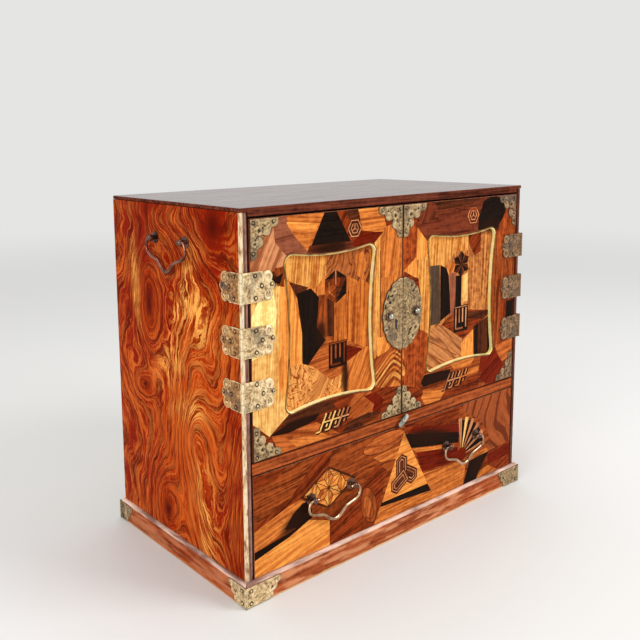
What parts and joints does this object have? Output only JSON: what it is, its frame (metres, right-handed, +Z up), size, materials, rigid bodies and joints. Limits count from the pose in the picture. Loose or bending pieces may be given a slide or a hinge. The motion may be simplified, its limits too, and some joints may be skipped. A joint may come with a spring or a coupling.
{
  "type": "tansu cabinet",
  "caption": "Small tansu cabinet: marquetry doors on wrap-round brass hinges over a full-width drawer, with bail handles, lock, turn catch and plinth.",
  "frame": {"origin": "middle of the plinth's underside, under the middle of the whole box", "axes": "+Z up, -Y out of the front, +X to the right seen from the front"},
  "size_m": [0.4188, 0.2334, 0.354],
  "materials": {
    "figured_side_wood": "orange-brown figured wood, glossy lacquer",
    "dark_edge_wood": "dark red-brown lacquered wood, satin",
    "marquetry_wood": "marquetry of many woods, glossy lacquer",
    "inner_wood": "plain unfinished pale wood",
    "plinth_wood": "red-brown wood, worn lacquer",
    "engraved_brass": "chased and aged olive-brown brass, satin",
    "gilt": "gilt wood bead",
    "bronze": "dark copper-brown cast metal, worn to a shine",
    "steel": "worn grey steel"
  },
  "bodies": {
    "carcass": {"top_board": "dark_edge_wood", "left_side_panel": "figured_side_wood", "right_side_panel": "figured_side_wood", "back_panel": "inner_wood", "bottom_board": "inner_wood", "divider_board": "plinth_wood", "shelf_board": "inner_wood", "plinth_front_rail": "plinth_wood", "plinth_right_rail": "plinth_wood", "plinth_back_rail": "plinth_wood", "plinth_left_rail": "plinth_wood", "turn_catch_pin": "steel", "left_top_hinge_side_leaf": "engraved_brass", "left_top_hinge_pin": "steel", "left_middle_hinge_side_leaf": "engraved_brass", "left_middle_hinge_pin": "steel", "left_bottom_hinge_side_leaf": "engraved_brass", "left_bottom_hinge_pin": "steel", "right_top_hinge_side_leaf": "engraved_brass", "right_top_hinge_pin": "steel", "right_middle_hinge_side_leaf": "engraved_brass", "right_middle_hinge_pin": "steel", "right_bottom_hinge_side_leaf": "engraved_brass", "right_bottom_hinge_pin": "steel", "left_carry_bail_first_post": "bronze", "left_carry_bail_second_post": "bronze", "right_carry_bail_first_post": "bronze", "right_carry_bail_second_post": "bronze"},
    "drawer": {"drawer_front": "marquetry_wood", "drawer_left_side": "inner_wood", "drawer_right_side": "inner_wood", "drawer_back": "inner_wood", "drawer_bottom": "inner_wood", "drawer_left_bail_first_post": "bronze", "drawer_left_bail_second_post": "bronze", "drawer_right_bail_first_post": "bronze", "drawer_right_bail_second_post": "bronze"},
    "left_door": {"left_door_frame": "marquetry_wood", "left_door_panel": "marquetry_wood", "left_door_bead": "gilt", "left_lock_plate": "engraved_brass", "left_pull_stud": "bronze", "left_top_hinge_door_leaf": "engraved_brass", "left_middle_hinge_door_leaf": "engraved_brass", "left_bottom_hinge_door_leaf": "engraved_brass", "lock_case": "steel"},
    "right_door": {"right_door_frame": "marquetry_wood", "right_door_panel": "marquetry_wood", "right_door_bead": "gilt", "right_lock_plate": "engraved_brass", "right_pull_stud": "bronze", "right_top_hinge_door_leaf": "engraved_brass", "right_middle_hinge_door_leaf": "engraved_brass", "right_bottom_hinge_door_leaf": "engraved_brass"},
    "drawer_left_bail": {"drawer_left_bail": "bronze"},
    "drawer_right_bail": {"drawer_right_bail": "bronze"},
    "left_carry_bail": {"left_carry_bail": "bronze"},
    "right_carry_bail": {"right_carry_bail": "bronze"},
    "lock_bolt": {"lock_bolt": "steel"},
    "turn_catch": {"turn_catch": "steel"}
  },
  "joints": [
    {"name": "left_door_swing", "type": "hinge", "parent": "carcass", "child": "left_door", "pos_m": [-0.2009, -0.1082, 0.2377], "axis": [0, 0, -1], "range_deg": [0, 180]},
    {"name": "right_door_swing", "type": "hinge", "parent": "carcass", "child": "right_door", "pos_m": [0.2009, -0.1082, 0.2377], "axis": [0, 0, 1], "range_deg": [0, 180]},
    {"name": "drawer_slide", "type": "slide", "parent": "carcass", "child": "drawer", "axis": [0, -1, 0], "range_m": [0, 0.16]},
    {"name": "drawer_left_bail_swing", "type": "hinge", "parent": "drawer", "child": "drawer_left_bail", "pos_m": [-0.098, -0.1133, 0.07705], "axis": [-1, 0, 0], "range_deg": [0, 150]},
    {"name": "left_carry_bail_swing", "type": "hinge", "parent": "carcass", "child": "left_carry_bail", "pos_m": [-0.206, 0.0027, 0.318], "axis": [0, 1, 0], "range_deg": [0, 150]},
    {"name": "drawer_right_bail_swing", "type": "hinge", "parent": "drawer", "child": "drawer_right_bail", "pos_m": [0.098, -0.1133, 0.07705], "axis": [-1, 0, 0], "range_deg": [0, 150]},
    {"name": "right_carry_bail_swing", "type": "hinge", "parent": "carcass", "child": "right_carry_bail", "pos_m": [0.206, 0.0027, 0.318], "axis": [0, -1, 0], "range_deg": [0, 150]},
    {"name": "lock_bolt_throw", "type": "slide", "parent": "left_door", "child": "lock_bolt", "axis": [1, 0, 0], "range_m": [0, 0.009]},
    {"name": "turn_catch_turn", "type": "hinge", "parent": "carcass", "child": "turn_catch", "pos_m": [0, -0.1073, 0.124], "axis": [0, -1, 0], "range_deg": [-37, 53]}
  ]
}
